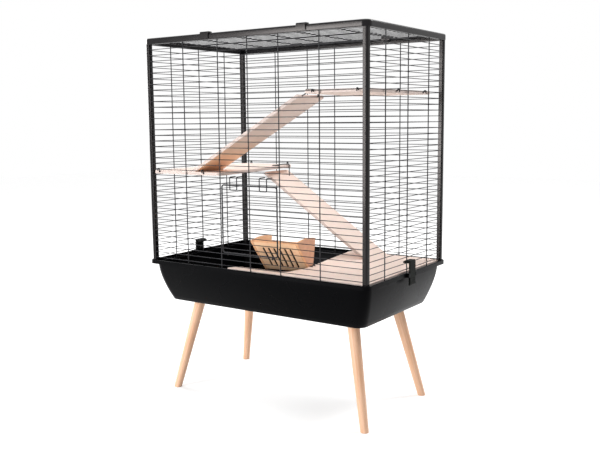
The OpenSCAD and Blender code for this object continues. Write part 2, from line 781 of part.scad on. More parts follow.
module manger_side(x) {
  rim = [for (s = [8:-1:0]) let (t = s / 8) [manger_d * t, manger_rim_z + manger_bulge * sin(180 * t)]];
  color(MANGER_WOOD) at_manger() difference() {
    translate([x, 0, 0]) rotate([90, 0, 90]) linear_extrude(manger_t)
      polygon(concat(rim, [[manger_lean * manger_h, manger_floor_z], [back_foot_y, manger_floor_z]]));
    if (x > -manger_t - 1) for (v = peg_places)
      rod([-manger_t - 1, v, peg_z], [1, v, peg_z], hook_d + 2 * fit);
  }
}

slot_w_manger = 5.5;
slot_top = 32;
slot_foot = 112;
slot_pitch = 17.5;
front_start = 6;
front_end = 128;
module manger_slot(x) {
  translate([x - slot_w_manger / 2, slot_top]) square([slot_w_manger, slot_foot - slot_top]);
  for (y = [slot_top, slot_foot]) translate([x, y]) circle(d = slot_w_manger, $fn = 24);
}
module manger_front() {
  inner_w = manger_w - 2 * manger_t;
  color(MANGER_WOOD) at_manger() translate([0, 0, manger_rim_z]) rotate([-front_angle, 0, 0])
    linear_extrude(manger_t) difference() {
      translate([-manger_t - inner_w, front_start]) square([inner_w, front_end - front_start]);
      for (i = [0:slot_count - 1])
        manger_slot(-manger_w / 2 + (i - (slot_count - 1) / 2) * slot_pitch);
    }
}

module manger_back() {
  inner_w = manger_w - 2 * manger_t;
  back_top = 480;
  function back_y(z) = back_foot_y + manger_back_lean * (z - manger_floor_z);
  color(MANGER_WOOD) at_manger() translate([-manger_t - inner_w, 0, 0]) rotate([90, 0, 90])
    linear_extrude(inner_w) polygon([
      [back_foot_y - manger_back_t, manger_floor_z], [back_foot_y, manger_floor_z],
      [back_y(back_top), back_top], [back_y(back_top) - manger_back_t, back_top]]);
}

module manger_pegs() {
  color(WIRE) at_manger() for (v = peg_places)
    wire([[-manger_t, v, peg_z], [peg_out, v, peg_z], [peg_out, v, ledge_z + 1]], hook_d, 2);
}

tray();
tray_feet();
leg(-1, -1);  // leg_front_left
leg(1, -1);  // leg_front_right
leg(-1, 1);  // leg_back_left
leg(1, 1);  // leg_back_right
leg_collars();
leg_bolts();
leg_washers();
leg_nuts();
post(-1, -1);  // post_front_left
post(1, -1);  // post_front_right
post(-1, 1);  // post_back_left
post(1, 1);  // post_back_right
color(BLACK) rail_pair_x(-1);  // top_rail_front
color(BLACK) rail_pair_x(1);  // top_rail_back
color(BLACK) rail_pair_y(-1);  // top_rail_left
color(BLACK) rail_pair_y(1);  // top_rail_right
corner(-1, -1);  // corner_front_left
corner(1, -1);  // corner_front_right
corner(-1, 1);  // corner_back_left
corner(1, 1);  // corner_back_right
front_panel();
back_panel();
side_panel(-1);  // left_panel
side_panel(1);  // right_panel
roof_grid();
roof_clips();
roof_hinges();
door_grid();
door_hooks();
side_clip(-1);  // side_clip_left
side_clip(1);  // side_clip_right
base_platform();
mid_shelf();
mid_shelf_hooks();
upper_shelf();
upper_shelf_hooks();
upper_ramp();
upper_ramp_hooks();
lower_ramp();
lower_ramp_hooks();
manger_front();
manger_back();
manger_side(-manger_w);  // manger_left
manger_side(-manger_t);  // manger_right
manger_pegs();
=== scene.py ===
"""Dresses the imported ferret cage: finishes for every part, weld nuggets, studio and camera.

All sizes are metres. The origin lies on the floor below the middle of the cage, the front
faces -Y and up is +Z.
"""

from __future__ import annotations

import logging
import math
from dataclasses import dataclass, field
from enum import Enum
from typing import Any, Iterable, Sequence

import bpy
import numpy as np
from mathutils import Matrix, Vector


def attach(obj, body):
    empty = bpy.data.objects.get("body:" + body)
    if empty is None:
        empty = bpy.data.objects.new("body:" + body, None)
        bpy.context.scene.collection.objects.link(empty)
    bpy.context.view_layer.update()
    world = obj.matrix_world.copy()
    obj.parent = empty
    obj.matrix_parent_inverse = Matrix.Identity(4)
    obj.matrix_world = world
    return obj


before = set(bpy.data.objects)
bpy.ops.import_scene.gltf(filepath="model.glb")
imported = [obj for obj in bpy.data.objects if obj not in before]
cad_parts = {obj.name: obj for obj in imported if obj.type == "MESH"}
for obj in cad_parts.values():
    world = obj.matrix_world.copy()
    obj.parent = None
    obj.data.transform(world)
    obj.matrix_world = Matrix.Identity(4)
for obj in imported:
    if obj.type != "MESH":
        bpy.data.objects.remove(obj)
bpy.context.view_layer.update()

LOG = logging.getLogger("ferret_cage")
Colour = tuple[float, float, float]
Point = tuple[float, float, float]
Pair = tuple[float, float]

WHITE: Colour = (1.0, 1.0, 1.0)
WHOLE: Pair = (0.0, 1.0)
NOISE_BAND: Pair = (0.3, 0.7)  # most values of a noise lie in it


def scaled(colour: Colour, factor: float) -> Colour:
    """Makes a colour lighter or darker by one factor."""
    red, green, blue = colour
    return (factor * red, factor * green, factor * blue)


# --------------------------------------------------------------------------- node trees


class Tree:
    """Adds nodes to a node tree and joins their sockets."""

    def __init__(self, tree: bpy.types.NodeTree) -> None:
        """Starts from an empty tree.

        Args:
            tree: the material's or the group's node tree.
        """
        self.tree = tree
        tree.nodes.clear()

    def feed(self, socket: Any, value: Any) -> None:
        """Joins a socket to another one, or sets its own value.

        Args:
            socket: the input socket.
            value: an output socket or a constant. A colour of three numbers becomes opaque.
        """
        if isinstance(value, bpy.types.NodeSocket):
            self.tree.links.new(value, socket)
            return
        if isinstance(value, tuple) and len(value) == 3 and socket.type == "RGBA":
            value = (*value, 1.0)
        socket.default_value = value

    def fill(self, node: Any, inputs: dict[Any, Any]) -> None:
        """Feeds several inputs of a node, each named or numbered."""
        for key, value in inputs.items():
            self.feed(node.inputs[key], value)

    def add(self, kind: str, inputs: dict[Any, Any] | None = None, **settings: Any) -> Any:
        """Adds one node.

        Args:
            kind: the node's type, without "ShaderNode".
            inputs: socket name or number to a value, or to a socket that feeds it.
            settings: attributes of the node itself.

        Returns:
            The new node.
        """
        node = self.tree.nodes.new("ShaderNode" + kind)
        for name, value in settings.items():
            setattr(node, name, value)
        self.fill(node, inputs or {})
        return node

    def math(self, operation: str, a: Any, b: Any = 0.0, clamp: bool = False) -> Any:
        """Puts in a Math node and gives its output socket."""
        return self.add("Math", {0: a, 1: b}, operation=operation, use_clamp=clamp).outputs[0]

    def span(self, value: Any, band: Pair, to: Pair = WHOLE) -> Any:
        """Maps a band of a value smoothly onto another range, clamped.

        Args:
            value: the value's socket.
            band: where the band starts and ends. The end may be below the start.
            to: the results at the start and at the end.

        Returns:
            The result's socket.
        """
        ends = {"From Min": band[0], "From Max": band[1], "To Min": to[0], "To Max": to[1]}
        node = self.add("MapRange", {"Value": value, **ends}, interpolation_type="SMOOTHSTEP")
        return node.outputs["Result"]

    def blend(self, factor: Any, a: Any, b: Any) -> Any:
        """Mixes two colours.

        Args:
            factor: the share of the second colour.
            a: the first colour.
            b: the second colour.

        Returns:
            The mixed colour's socket.
        """
        node = self.add("Mix", data_type="RGBA")
        first, second = [socket for socket in node.inputs if socket.type == "RGBA"]
        self.feed(node.inputs["Factor"], factor)
        self.feed(first, a)
        self.feed(second, b)
        return next(socket for socket in node.outputs if socket.type == "RGBA")

    def noise(self, vector: Any, scale: Any, detail: float, rough: float = 0.5) -> Any:
        """Puts in a Noise texture and gives its value socket."""
        inputs = {"Vector": vector, "Scale": scale, "Detail": detail, "Roughness": rough}
        return self.add("TexNoise", inputs).outputs["Fac"]

    def bump(self, shader: Any, height: Any, depth: float, strength: float) -> None:
        """Bends a shader's normal by a height that is depth metres deep."""
        node = self.add("Bump", {"Height": height, "Distance": depth, "Strength": strength})
        self.feed(shader.inputs["Normal"], node.outputs[0])

    def place(self, group: bpy.types.NodeTree, **inputs: Any) -> Any:
        """Puts in a shared effect and feeds its inputs.

        Args:
            group: the effect's group.
            inputs: input name to a value or socket.

        Returns:
            The outputs of the group node.
        """
        node = self.add("Group", node_tree=group)
        self.fill(node, inputs)
        return node.outputs


@dataclass
class SharedEffects:
    """Builds each shared surface effect once, as a node group of masks and heights.

    A band is the stretch of a noise's values over which its mask goes from 0 to 1.
    """

    streak_bend: float = 0.012
    pore_fineness: float = 9.0
    figure_relief: float = 0.4
    figure_band: Pair = (0.34, 0.66)
    pore_band: Pair = (0.58, 0.72)
    fleck_squeeze: Point = (0.35, 1.0, 1.0)
    fleck_band: Pair = (0.4, 0.7)
    mark_turn: Point = (0.2, 0.5, 0.9)
    mark_squeeze: Point = (0.2, 1.0, 1.0)
    mark_band: Pair = (0.6, 0.75)
    handled_band: Pair = (0.4, 0.7)
    built: dict[str, bpy.types.NodeTree] = field(default_factory=dict)

    def start(
        self, name: str, values: dict[str, float], outs: Sequence[str]
    ) -> tuple[Tree, Any, Any]:
        """Makes an empty group with its sockets.

        Args:
            name: the group's name.
            values: the inputs beside Vector, each with its default.
            outs: names of the float outputs.

        Returns:
            The tree, the sockets of its inputs and its output node.
        """
        group = bpy.data.node_groups.new(name, "ShaderNodeTree")
        self.built[name] = group
        tree = Tree(group)
        group.interface.new_socket("Vector", in_out="INPUT", socket_type="NodeSocketVector")
        for label, default in values.items():
            socket = group.interface.new_socket(
                label, in_out="INPUT", socket_type="NodeSocketFloat"
            )
            socket.default_value = default
        for label in outs:
            group.interface.new_socket(label, in_out="OUTPUT", socket_type="NodeSocketFloat")
        entry = group.nodes.new("NodeGroupInput")
        leave = group.nodes.new("NodeGroupOutput")
        return tree, entry.outputs, leave

    def timber(self) -> bpy.types.NodeTree:
        """Straight-grained timber.

        The point is squeezed along its X, so that noise turns into long streaks. Slow noise bends
        the streaks, wide ones give the figure, fine ones the pores.

        Returns:
            The group, with outputs Figure, Pores and Height.
        """
        if "timber_grain" in self.built:
            return self.built["timber_grain"]
        tree, given, leave = self.start(
            "timber_grain", {"Streaks": 90.0, "Length": 0.05}, ["Figure", "Pores", "Height"]
        )
        x, y, z = tree.add("SeparateXYZ", {0: given["Vector"]}).outputs
        drift = tree.noise(given["Vector"], scale=5.0, detail=2.0)
        along = tree.math("MULTIPLY", x, given["Length"])
        across = tree.math("ADD", y, tree.math("MULTIPLY", drift, self.streak_bend))
        squeezed = tree.add("CombineXYZ", {0: along, 1: across, 2: z}).outputs[0]
        wide = tree.noise(squeezed, given["Streaks"], detail=4.0, rough=0.6)
        fine_scale = tree.math("MULTIPLY", given["Streaks"], self.pore_fineness)
        fine = tree.noise(squeezed, fine_scale, detail=2.0)
        figure = tree.span(wide, self.figure_band)
        pores = tree.span(fine, self.pore_band)
        relief = tree.math("MULTIPLY", figure, self.figure_relief)
        height = tree.math("SUBTRACT", relief, pores)
        tree.fill(leave, {"Figure": figure, "Pores": pores, "Height": height})
        return self.built["timber_grain"]

    def pressed_fibre(self) -> bpy.types.NodeTree:
        """Pressed wood fibre: short flecks and slow blotches.

        Returns:
            The group, with outputs Fleck, Blotch and Height.
        """
        if "pressed_fibre" in self.built:
            return self.built["pressed_fibre"]
        tree, given, leave = self.start(
            "pressed_fibre", {"Scale": 260.0}, ["Fleck", "Blotch", "Height"]
        )
        point = given["Vector"]
        squeezed = tree.add("Mapping", {"Vector": point, "Scale": self.fleck_squeeze}).outputs[0]
        flecks = tree.noise(squeezed, given["Scale"], detail=5.0, rough=0.65)
        blotches = tree.noise(point, scale=9.0, detail=3.0)
        fleck = tree.span(flecks, self.fleck_band)
        blotch = tree.span(blotches, NOISE_BAND)
        tree.fill(leave, {"Fleck": fleck, "Blotch": blotch, "Height": flecks})
        return self.built["pressed_fibre"]

    def moulded_skin(self) -> bpy.types.NodeTree:
        """Spark-eroded mould skin with faint handling marks.

        Returns:
            The group, with outputs Height, Scuff and Cloud.
        """
        if "moulded_skin" in self.built:
            return self.built["moulded_skin"]
        tree, given, leave = self.start(
            "moulded_skin", {"Scale": 900.0}, ["Height", "Scuff", "Cloud"]
        )
        point = given["Vector"]
        grain = tree.noise(point, given["Scale"], detail=2.0)
        turned = {"Vector": point, "Rotation": self.mark_turn, "Scale": self.mark_squeeze}
        squeezed = tree.add("Mapping", turned).outputs[0]
        marks = tree.span(tree.noise(squeezed, scale=60.0, detail=6.0, rough=0.7), self.mark_band)
        clouds = tree.noise(point, scale=6.0, detail=2.0)
        scuff = tree.math("MULTIPLY", marks, tree.span(clouds, self.handled_band))
        cloud = tree.span(clouds, NOISE_BAND)
        tree.fill(leave, {"Height": grain, "Scuff": scuff, "Cloud": cloud})
        return self.built["moulded_skin"]


EFFECTS = SharedEffects()


# --------------------------------------------------------------------------- finishes


def new_material(name: str) -> tuple[bpy.types.Material, Tree, Any]:
    """Makes an empty node material.

    Args:
        name: the material's name.

    Returns:
        The material, its tree and its Principled node, already joined to the output.
    """
    material = bpy.data.materials.new(name)
    material.use_nodes = True
    tree = Tree(material.node_tree)
    shader = tree.add("BsdfPrincipled")
    tree.add("OutputMaterial", {"Surface": shader.outputs[0]})
    return material, tree, shader


@dataclass(frozen=True)
class MouldedPlastic:
    """Black moulded plastic with a satin skin.

    Haze is a faint veil at glancing angles, and glint the tint of the highlights.
    """

    name: str
    colour: Colour
    worn: Colour
    rough: float
    gloss: float
    glint: Colour = WHITE
    haze: float = 0.0
    haze_rough: float = 0.35
    haze_tint: Colour = (0.86, 0.88, 1.0)
    wear: float = 0.5
    cloudiness: float = 0.08
    skin_scale: float = 900.0
    skin_depth: float = 0.00003
    skin_strength: float = 0.5

    def material(self) -> bpy.types.Material:
        """Builds the material: scuffs lighten it and clouds dull it.

        Returns:
            The material.
        """
        material, tree, shader = new_material(self.name)
        point = tree.add("TexCoord").outputs["Object"]
        skin = tree.place(EFFECTS.moulded_skin(), Vector=point, Scale=self.skin_scale)
        scuff = tree.math("MULTIPLY", skin["Scuff"], self.wear)
        cloud = tree.math("MULTIPLY", skin["Cloud"], self.cloudiness)
        tree.fill(shader, {
            "Base Color": tree.blend(scuff, self.colour, self.worn),
            "Roughness": tree.math("ADD", cloud, self.rough),
            "Specular IOR Level": self.gloss,
            "Specular Tint": self.glint,
            "Sheen Weight": self.haze,
            "Sheen Roughness": self.haze_rough,
            "Sheen Tint": self.haze_tint,
        })
        tree.bump(shader, skin["Height"], self.skin_depth, self.skin_strength)
        return material


@dataclass(frozen=True)
class CoatedWire:
    """Drawn steel wire under a thin black powder coat."""

    name: str
    colour: Colour
    dulling: float = 1.7
    dull_band: Pair = (0.35, 0.7)
    rough: Pair = (0.36, 0.5)
    gloss: float = 0.12
    peel_depth: float = 0.00004
    peel_strength: float = 0.4

    def material(self) -> bpy.types.Material:
        """Builds the material: orange-peel bump and slightly uneven gloss.

        Returns:
            The material.
        """
        material, tree, shader = new_material(self.name)
        point = tree.add("TexCoord").outputs["Object"]
        peel = tree.noise(point, scale=1400.0, detail=1.0)
        patches = tree.noise(point, scale=30.0, detail=2.0)
        dull = scaled(self.colour, self.dulling)
        tree.fill(shader, {
            "Base Color": tree.blend(tree.span(patches, self.dull_band), self.colour, dull),
            "Roughness": tree.span(patches, NOISE_BAND, to=self.rough),
            "Specular IOR Level": self.gloss,
        })
        tree.bump(shader, peel, self.peel_depth, self.peel_strength)
        return material


@dataclass(frozen=True)
class PlatedSteel:
    """Zinc-plated steel of the bolts, washers and nuts."""

    name: str
    colour: Colour = (0.62, 0.63, 0.65)
    blued: Colour = (0.5, 0.53, 0.58)
    rough: Pair = (0.25, 0.42)
    mark_depth: float = 0.00003
    mark_strength: float = 0.3

    def material(self) -> bpy.types.Material:
        """Builds the material: cloudy plating over fine turning marks.

        Returns:
            The material.
        """
        material, tree, shader = new_material(self.name)
        point = tree.add("TexCoord").outputs["Object"]
        cloud = tree.noise(point, scale=180.0, detail=3.0)
        marks = tree.noise(point, scale=2200.0, detail=1.0)
        tree.fill(shader, {
            "Base Color": tree.blend(tree.span(cloud, NOISE_BAND), self.colour, self.blued),
            "Roughness": tree.span(cloud, NOISE_BAND, to=self.rough),
            "Metallic": 1.0,
        })
        tree.bump(shader, marks, self.mark_depth, self.mark_strength)
        return material


@dataclass(frozen=True)
class Timber:
    """Straight-grained solid wood, its grain along one direction through its centre."""

    name: str
    light: Colour
    dark: Colour
    along: Point
    centre: Point
    streaks: float = 110.0
    figure_share: float = 0.75
    pore_share: float = 0.35
    pore_shade: float = 0.7
    rough: float = 0.42
    pore_rough: float = 0.15
    gloss: float = 0.35
    pore_depth: float = 0.00008
    pore_strength: float = 0.5

    def material(self) -> bpy.types.Material:
        """Builds the material, turned so that the grain's X lies along the piece.

        Returns:
            The material.
        """
        material, tree, shader = new_material(self.name)
        point = tree.add("TexCoord").outputs["Object"]
        turn = Vector((1, 0, 0)).rotation_difference(Vector(self.along).normalized()).to_euler()
        laid = {"Vector": point, "Location": self.centre, "Rotation": tuple(turn)}
        local = tree.add("Mapping", laid, vector_type="TEXTURE").outputs[0]
        grain = tree.place(EFFECTS.timber(), Vector=local, Streaks=self.streaks)
        figure = tree.math("MULTIPLY", grain["Figure"], self.figure_share)
        pores = tree.math("MULTIPLY", grain["Pores"], self.pore_share)
        wood = tree.blend(figure, self.light, self.dark)
        dull = tree.math("MULTIPLY", grain["Pores"], self.pore_rough)
        tree.fill(shader, {
            "Base Color": tree.blend(pores, wood, scaled(self.dark, self.pore_shade)),
            "Roughness": tree.math("ADD", dull, self.rough),
            "Specular IOR Level": self.gloss,
        })
        tree.bump(shader, grain["Height"], self.pore_depth, self.pore_strength)
        return material


@dataclass(frozen=True)
class FacedBoard:
    """Thin wooden board: pale sanded faces and warmer sawn edges.

    The face looks along up, and turn lays the grain along the board. Where painted_bounce_along is
    given, the lower face gets painted bounce light, lighter and warmer, from its first X to its
    second.
    Where slot_across is given, walls that face along it, the slots' walls among them, get painted
    shade, near-black. A band is a stretch of how the surface faces a direction: 1 along it, 0
    across it and -1 against it.
    """

    name: str
    face: Colour
    fleck: Colour
    edge: Colour
    up: Point
    turn: Point
    streaks: float = 60.0
    blotch_share: float = 0.25
    figure_share: float = 0.3
    fleck_share: float = 0.22
    edge_shade: float = 0.82
    rough: Pair = (0.56, 0.72)
    gloss: float = 0.25
    fibre_depth: float = 0.0001
    fibre_strength: float = 0.35
    sawn_band: Pair = (0.8, 0.45)
    lower_band: Pair = (0.2, -0.2)
    painted_slot_shade_band: Pair = (0.3, 0.5)
    # painted bounce light: warm is the lighter, warmer colour that the lower face turns to along X
    painted_bounce_along: Pair | None = None
    warm: Colour = (1.0, 0.63, 0.4)
    slot_across: Point | None = None
    # painted shade: the near-black colour of the slots' walls
    painted_slot_shade: Colour = (0.035, 0.018, 0.01)

    def facing(self, tree: Tree, normal: Any, way: Point) -> Any:
        """How the surface faces: 1 along a way, 0 across it and -1 against it.

        Args:
            tree: the material's tree.
            normal: the surface's own direction.
            way: the way, of any length.

        Returns:
            The value's socket.
        """
        unit = Vector(way).normalized()[:]
        product = tree.add("VectorMath", {0: normal, 1: unit}, operation="DOT_PRODUCT")
        return product.outputs["Value"]

    def sanded(self, tree: Tree, point: Any, fibre: Any) -> Any:
        """The colour of a sanded face.

        Args:
            tree: the material's tree.
            point: the point, turned along the board.
            fibre: the outputs of the pressed fibre.

        Returns:
            The colour's socket.
        """
        grain = tree.place(EFFECTS.timber(), Vector=point, Streaks=self.streaks)
        slow = tree.math("MULTIPLY", fibre["Blotch"], self.blotch_share)
        streak = tree.math("MULTIPLY", grain["Figure"], self.figure_share)
        face = tree.blend(tree.math("ADD", slow, streak, clamp=True), self.face, self.fleck)
        return tree.blend(tree.math("MULTIPLY", fibre["Fleck"], self.fleck_share), face, self.fleck)

    def painted_bounce_mask(self, tree: Tree, point: Any, upwards: Any) -> Any:
        """Where the lower face gets painted bounce light, lighter and warmer.

        Args:
            tree: the material's tree.
            point: the unturned point.
            upwards: how the surface faces, 1 for the upper face and -1 for the lower one.

        Returns:
            The mask's socket.
        """
        along = tree.span(tree.add("SeparateXYZ", {0: point}).outputs[0], self.painted_bounce_along)
        return tree.math("MULTIPLY", along, tree.span(upwards, self.lower_band))

    def material(self) -> bpy.types.Material:
        """Builds the material: the surface's own direction tells a face from an edge.

        Returns:
            The material.
        """
        material, tree, shader = new_material(self.name)
        spot = tree.add("TexCoord").outputs
        turned = {"Vector": spot["Object"], "Rotation": self.turn}
        point = tree.add("Mapping", turned).outputs[0]
        fibre = tree.place(EFFECTS.pressed_fibre(), Vector=point)
        upwards = self.facing(tree, spot["Normal"], self.up)
        face = self.sanded(tree, point, fibre)
        # painted bounce light: the lower face lighter and warmer along X, as if lit from the shelf
        # below
        if self.painted_bounce_along:
            face = tree.blend(self.painted_bounce_mask(tree, spot["Object"], upwards), face, self.warm)
        edge = tree.blend(fibre["Fleck"], self.edge, scaled(self.edge, self.edge_shade))
        sawn = tree.span(tree.math("ABSOLUTE", upwards), self.sawn_band)
        colour = tree.blend(sawn, face, edge)
        # painted shade: walls that face along slot_across, the slots' walls among them, turn
        # near-black
        if self.slot_across:
            across = tree.math("ABSOLUTE", self.facing(tree, spot["Normal"], self.slot_across))
            colour = tree.blend(tree.span(across, self.painted_slot_shade_band), colour, self.painted_slot_shade)
        tree.fill(shader, {
            "Base Color": colour,
            "Roughness": tree.span(fibre["Fleck"], WHOLE, to=self.rough),
            "Specular IOR Level": self.gloss,
        })
        tree.bump(shader, fibre["Height"], self.fibre_depth, self.fibre_strength)
        return material


# --------------------------------------------------------------------------- meshes


class Shading(Enum):
    """How a CAD node's triangles are joined and shaded."""

    SHARP = "flat faces with a small rounded edge"
    ROUND = "smooth round faces, sharp edges kept"


WELD_GAP = 0.000002
EASED_EDGE = 0.0006
EASED_ABOVE = math.radians(40)  # edges that turn by more are eased
SHARP_ABOVE = math.radians(32)  # edges that turn by more stay sharp


def mesh_object(
    name: str, points: np.ndarray, faces: np.ndarray, smooth: bool = True
) -> bpy.types.Object:
    """Puts arrays into a new mesh object at the origin.

    Args:
        name: the object's name.
        points: vertices, shape (n, 3).
        faces: corner numbers, shape (m, 3) or (m, 4).
        smooth: whether the faces are shaded smooth.

    Returns:
        The object, linked to the scene.
    """
    mesh = bpy.data.meshes.new(name)
    count, corners = faces.shape
    starts = np.arange(0, count * corners, corners, dtype=np.int32)
    mesh.vertices.add(len(points))
    mesh.vertices.foreach_set("co", points.astype(np.float32).ravel())
    mesh.loops.add(count * corners)
    mesh.loops.foreach_set("vertex_index", faces.astype(np.int32).ravel())
    mesh.polygons.add(count)
    mesh.polygons.foreach_set("loop_start", starts)
    mesh.polygons.foreach_set("use_smooth", np.full(count, smooth))
    mesh.update(calc_edges=True)
    mesh.validate()
    piece = bpy.data.objects.new(name, mesh)
    bpy.context.scene.collection.objects.link(piece)
    return piece


def nugget_surface(
    radii: np.ndarray, rings: int = 5, spokes: int = 8
) -> tuple[np.ndarray, np.ndarray]:
    """A closed spheroid on a grid of two angles.

    A point is the radii times (cos v cos u, cos v sin u, sin v), u once round and v from pole to
    pole. Each pole is one point, and a fan of triangles closes the ring next to it.

    Args:
        radii: half sizes along X, Y and Z.
        rings: rings between the poles.
        spokes: points on a ring.

    Returns:
        Points (rings * spokes + 2, 3) and triangles.
    """
    v = np.linspace(-np.pi / 2, np.pi / 2, rings + 2)[1:-1]
    u = np.linspace(0.0, 2 * np.pi, spokes, endpoint=False)
    vv, uu = np.meshgrid(v, u, indexing="ij")
    ball = np.stack([np.cos(vv) * np.cos(uu), np.cos(vv) * np.sin(uu), np.sin(vv)], -1)
    points = np.vstack([ball.reshape(-1, 3), [[0, 0, -1], [0, 0, 1]]]) * radii
    ring = np.arange(rings - 1)[:, None] * spokes
    here = np.arange(spokes)[None, :]
    after = (here + 1) % spokes
    a, b, c, d = ring + here, ring + after, ring + spokes + after, ring + spokes + here
    south, north = rings * spokes, rings * spokes + 1
    top = (rings - 1) * spokes
    faces = [
        np.stack([a, b, c], -1).reshape(-1, 3),
        np.stack([a, c, d], -1).reshape(-1, 3),
        np.stack([np.full(spokes, south), after[0], here[0]], -1),
        np.stack([np.full(spokes, north), top + here[0], top + after[0]], -1),
    ]
    return points, np.concatenate(faces)


def scatter(
    places: np.ndarray, points: np.ndarray, faces: np.ndarray
) -> tuple[np.ndarray, np.ndarray]:
    """Copies one small surface to many places.

    Args:
        places: centres, shape (n, 3).
        points: the surface's points round its own centre.
        faces: its faces.

    Returns:
        All points and all faces.
    """
    every = (places[:, None, :] + points[None, :, :]).reshape(-1, 3)
    shift = np.arange(len(places))[:, None, None] * len(points)
    return every, (faces[None] + shift).reshape(-1, faces.shape[1])


def dress(node: str, material: bpy.types.Material, shading: Shading) -> None:
    """Gives a CAD node its finish and its shading, and leaves its shape alone.

    Args:
        node: the node's name.
        material: the finish.
        shading: how its triangles are joined.
    """
    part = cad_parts[node]
    part.data.materials.clear()
    part.data.materials.append(material)
    if "custom_normal" in part.data.attributes:
        part.data.attributes.remove(part.data.attributes["custom_normal"])
    part.data.polygons.foreach_set("use_smooth", np.full(len(part.data.polygons), True))
    weld = part.modifiers.new("join_triangles", "WELD")
    weld.merge_threshold = WELD_GAP
    if shading is Shading.SHARP:
        bevel = part.modifiers.new("eased_edges", "BEVEL")
        bevel.width = EASED_EDGE
        bevel.segments = 2
        bevel.limit_method = "ANGLE"
        bevel.angle_limit = EASED_ABOVE
    split = part.modifiers.new("sharp_edges", "EDGE_SPLIT")
    split.split_angle = SHARP_ABOVE
    LOG.info("dressed %s with %s", node, material.name)


def add_piece(piece: bpy.types.Object, material: bpy.types.Material, body: str) -> None:
    """Finishes a new piece and hangs it on its body.

    Args:
        piece: the object.
        material: its finish.
        body: the CAD body that it moves with.
    """
    piece.data.materials.append(material)
    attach(piece, body)
    LOG.info("made %s on %s: %d faces", piece.name, body, len(piece.data.polygons))


# --------------------------------------------------------------------------- sub-assemblies


@dataclass
class TrayAndLegs:
    """Deep plastic tray on four splayed, tapered legs.

    leg_top and leg_foot are the ends of the right back leg's axis. The others mirror it.
    """

    leg_top: Point = (0.277, 0.126, 0.289)
    leg_foot: Point = (0.342, 0.175, 0.0)
    beech: Colour = (0.83, 0.53, 0.36)
    beech_figure: Colour = (0.69, 0.37, 0.21)
    plastic: MouldedPlastic = MouldedPlastic(
        "tray_black",
        colour=(0.0004, 0.0006, 0.0008),
        worn=(0.003, 0.003, 0.004),
        rough=0.22,
        gloss=0.036,
        glint=(0.97, 0.94, 1.0),
        haze=0.03,
    )
    fittings: MouldedPlastic = MouldedPlastic(
        "fitting_black",
        colour=(0.006, 0.006, 0.007),
        worn=(0.02, 0.02, 0.022),
        rough=0.45,
        gloss=0.15,
    )
    plating: PlatedSteel = PlatedSteel("zinc_plate")

    def leg_finish(self, name: str, sx: int, sy: int) -> Timber:
        """The finish of one leg, its grain along the leg's own axis.

        Args:
            name: the leg's node.
            sx: 1 for a right leg, -1 for a left one.
            sy: 1 for a back leg, -1 for a front one.

        Returns:
            The finish.
        """
        top = np.array(self.leg_top) * (sx, sy, 1)
        foot = np.array(self.leg_foot) * (sx, sy, 1)
        along = tuple(foot - top)
        return Timber(name + "_beech", self.beech, self.beech_figure, along, tuple(foot))

    def build(self) -> None:
        """Dresses the tray, its feet, the legs and their fastenings."""
        tray = self.plastic.material()
        for node in ("tray", "tray_feet"):
            dress(node, tray, Shading.ROUND)
        for depth, sy in (("front", -1), ("back", 1)):
            for side, sx in (("left", -1), ("right", 1)):
                node = f"leg_{depth}_{side}"
                dress(node, self.leg_finish(node, sx, sy).material(), Shading.ROUND)
        dress("leg_collars", self.fittings.material(), Shading.ROUND)
        steel = self.plating.material()
        for node in ("leg_bolts", "leg_washers", "leg_nuts"):
            dress(node, steel, Shading.ROUND)


@dataclass
class PlasticFrame:
    """Corner posts, roof rails, rounded corners and the clips."""

    plastic: MouldedPlastic = MouldedPlastic(
        "frame_black",
        colour=(0.004, 0.004, 0.005),
        worn=(0.015, 0.015, 0.017),
        rough=0.2,
        gloss=0.22,
        glint=(1.0, 0.93, 0.9),
    )
    clip_plastic: MouldedPlastic = MouldedPlastic(
        "clip_black",
        colour=(0.006, 0.007, 0.006),
        worn=(0.02, 0.02, 0.02),
        rough=0.5,
        gloss=0.06,
    )

    def build(self) -> None:
        """Dresses every plastic piece of the frame."""
        black = self.plastic.material()
        for place in ("front_left", "front_right", "back_left", "back_right"):
            dress(f"post_{place}", black, Shading.ROUND)
            dress(f"corner_{place}", black, Shading.ROUND)
        for place in ("front", "back", "left", "right"):
            dress(f"top_rail_{place}", black, Shading.ROUND)
        for node in ("roof_clips", "roof_hinges"):
            dress(node, black, Shading.ROUND)
        clip = self.clip_plastic.material()
        for node in ("side_clip_left", "side_clip_right"):
            dress(node, clip, Shading.ROUND)


